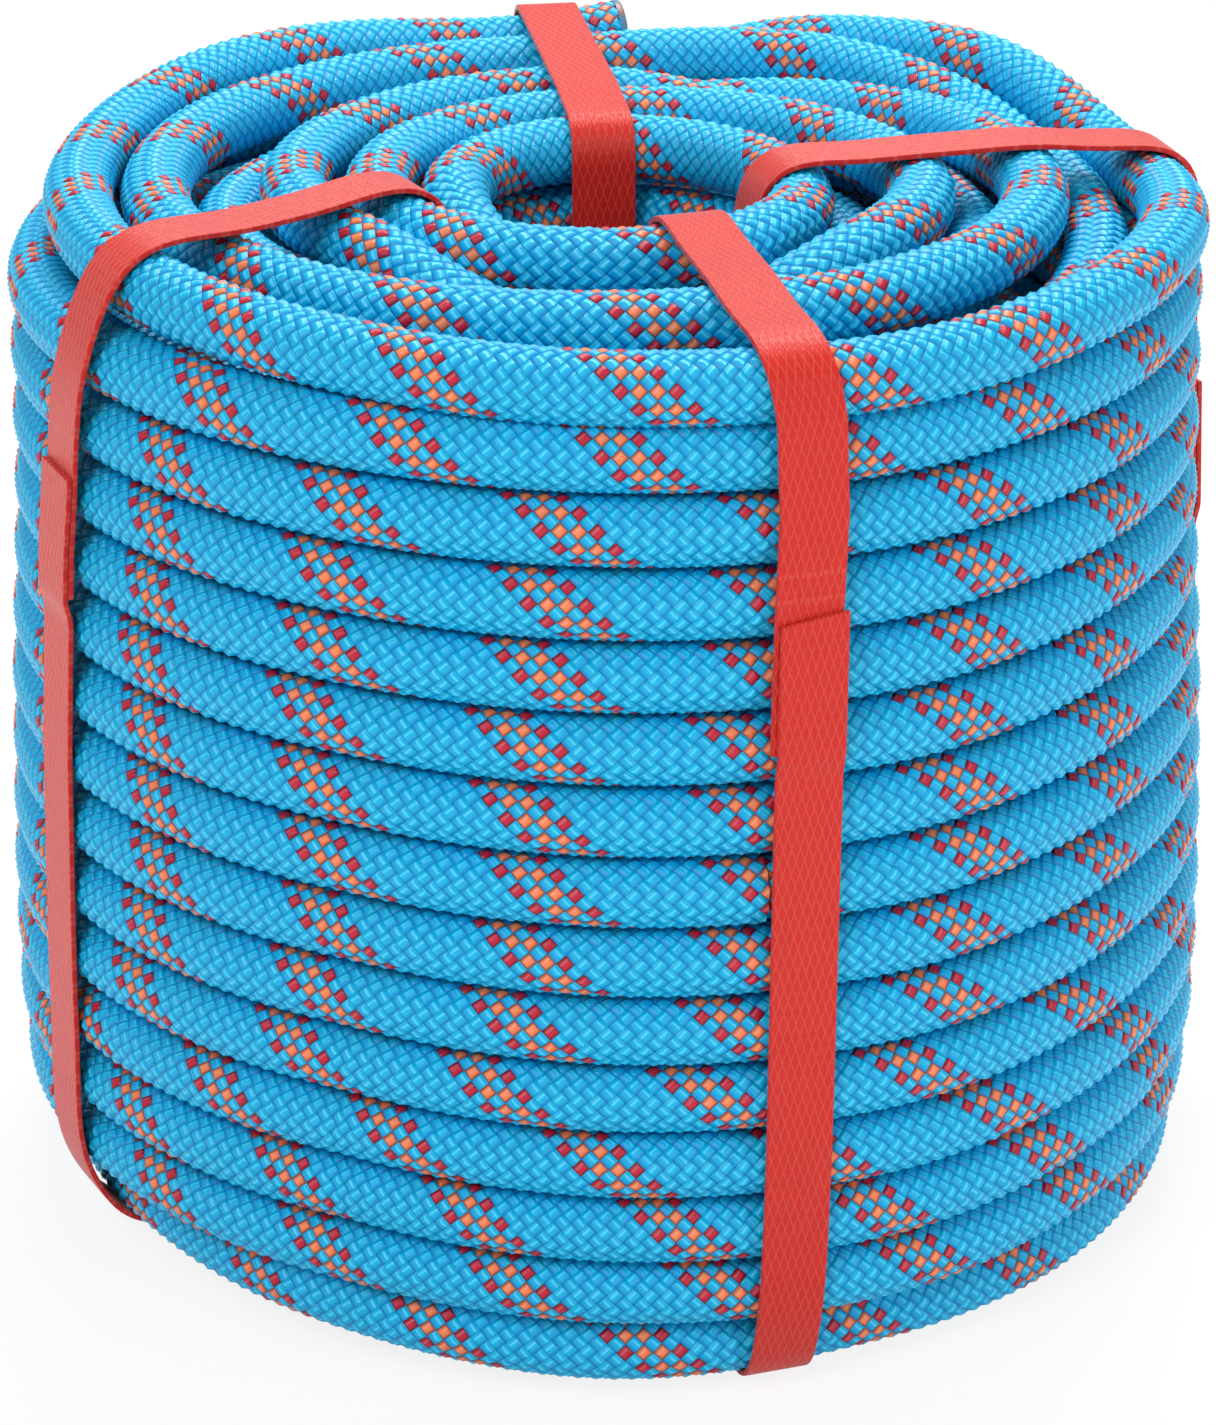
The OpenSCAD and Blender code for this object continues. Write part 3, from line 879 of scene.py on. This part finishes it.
view = {
    "lens": 110.88,         # mm
    "sensor": 36,
    "elevation": 23.97,     # degrees
    # in rope diameters, from the point on the coil's axis that it looks at
    "distance": 65.3,
    "aside": 0.026,
    "aimHeight": 6.61,
}
elevation = math.radians(view["elevation"])
cameraData = bpy.data.cameras.new("camera")
cameraData.lens, cameraData.sensor_width = view["lens"], view["sensor"]
cameraData.clip_start, cameraData.clip_end = 0.01, 20
camera = bpy.data.objects.new("camera", cameraData)
camera.location = (
    view["aside"] * ropeSize, -view["distance"] * math.cos(elevation) * ropeSize,
    (view["aimHeight"] + view["distance"] * math.sin(elevation)) * ropeSize)
camera.rotation_euler = (math.pi / 2 - elevation, 0, 0)
bpy.context.scene.collection.objects.link(camera)
bpy.context.scene.camera = camera

# Rope

sheath = sheathMaterial()
cutPhase = math.ceil(routePhase[0] * rope["strands"]) / rope["strands"]
splitPhase = phaseAt(coil["endAzimuth"] + 360 * coil["splitTurn"])
outerPhase = phaseAt(marks["outerEnd"] + coil["braidPast"])
topPhase = phaseAt(marks["topBegin"] - coil["braidBefore"])
borePhase = phaseAt(marks["topEnd"])
line, linePath = ropeLine("ropeLine", cutPhase + rope["lineStart"], routePhase[-1], sheath)
upper = sheathSection("outerTurnsUpper", cutPhase, splitPhase, sheath)
lower = sheathSection("outerTurnsLower", splitPhase, outerPhase, sheath)
topTurns = sheathSection("topTurns", topPhase, borePhase, sheath)
boreTurns = sheathSection("boreTurns", borePhase, phaseAt(marks["boreEnd"]), sheath)
lowTurn = sheathSection("lowTurn", phaseAt(marks["riserStart"]), phaseAt(marks["riserEnd"]), sheath)
edge = fusedEdge(cutPhase)
strands = coreStrands(cutPhase)
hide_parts("rope_inner_layers")
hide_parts("rope_outer_turns", "rope_end_sheath")
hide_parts("rope_top_turns")
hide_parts("rope_bore_layer")
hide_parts("rope_end_core")
sheathPieces = [upper, lower, topTurns, boreTurns, lowTurn, edge]
for piece in [line, strands] + sheathPieces:
    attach(piece, "root")

# Straps

webbing = strapMaterial()
for side, settings in straps.items():
    band = strapBand(side, settings, webbing)
    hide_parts(f"strap_{side}")
    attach(band, "root")
print("straps: done")

# Floor, world and lights

studio = {
    "floor": "#F8F8F8",
    "floorSize": 6,         # m
    "whiteShare": 0.85,     # of plain white that the camera sees in it, so that shadows stay faint
    "world": 0.52,          # its light on the rope, while the camera sees it plain white
    "aim": (0, 0, 0.1),     # what the lights point at
    "lights": [
        # name, place, size, watts
        ["key", (-0.55, -1.0, 1.25), 0.7, 10.0],
        ["fill", (1.1, -0.9, 0.6), 0.9, 5.0],
        ["top", (0.1, 0.65, 1.2), 0.8, 16.0],
    ],
}
bm = bmesh.new()
bmesh.ops.create_grid(bm, x_segments=1, y_segments=1, size=studio["floorSize"])
# matt and almost white, with faint shadows
paperMaterial, tree = newMaterial("seamlessPaper")
rays = addNode(tree, "ShaderNodeLightPath")
share = addNode(tree, "ShaderNodeMath", [rays.outputs["Is Camera Ray"], studio["whiteShare"]],
                operation="MULTIPLY")
paper = addNode(tree, "ShaderNodeBsdfDiffuse", {"Color": hexToLinear(studio["floor"])})
white = addNode(tree, "ShaderNodeEmission", {"Color": (1, 1, 1, 1), "Strength": 1.0})
mixed = addNode(tree, "ShaderNodeMixShader", [share, paper, white])
addNode(tree, "ShaderNodeOutputMaterial", {"Surface": mixed})
addPiece("floor", meshFrom(bm, "floor"), paperMaterial)

world = bpy.data.worlds.new("studio")
world.use_nodes = True
tree = world.node_tree
tree.nodes.clear()
rays = addNode(tree, "ShaderNodeLightPath")
soft, plain = [
    addNode(tree, "ShaderNodeBackground", {"Color": (1, 1, 1, 1), "Strength": strength})
    for strength in (studio["world"], 1.0)]
mixed = addNode(tree, "ShaderNodeMixShader", [rays.outputs["Is Camera Ray"], soft, plain])
addNode(tree, "ShaderNodeOutputWorld", {"Surface": mixed})
bpy.context.scene.world = world

for name, place, width, watts in studio["lights"]:
    data = bpy.data.lights.new(name, "AREA")
    data.shape, data.size, data.energy = "DISK", width, watts
    lamp = bpy.data.objects.new(name, data)
    lamp.location = place
    toAim = Vector(studio["aim"]) - Vector(place)
    lamp.rotation_euler = toAim.to_track_quat("-Z", "Y").to_euler()
    bpy.context.scene.collection.objects.link(lamp)

bpy.context.scene.view_settings.view_transform = "Standard"
print("studio: done")
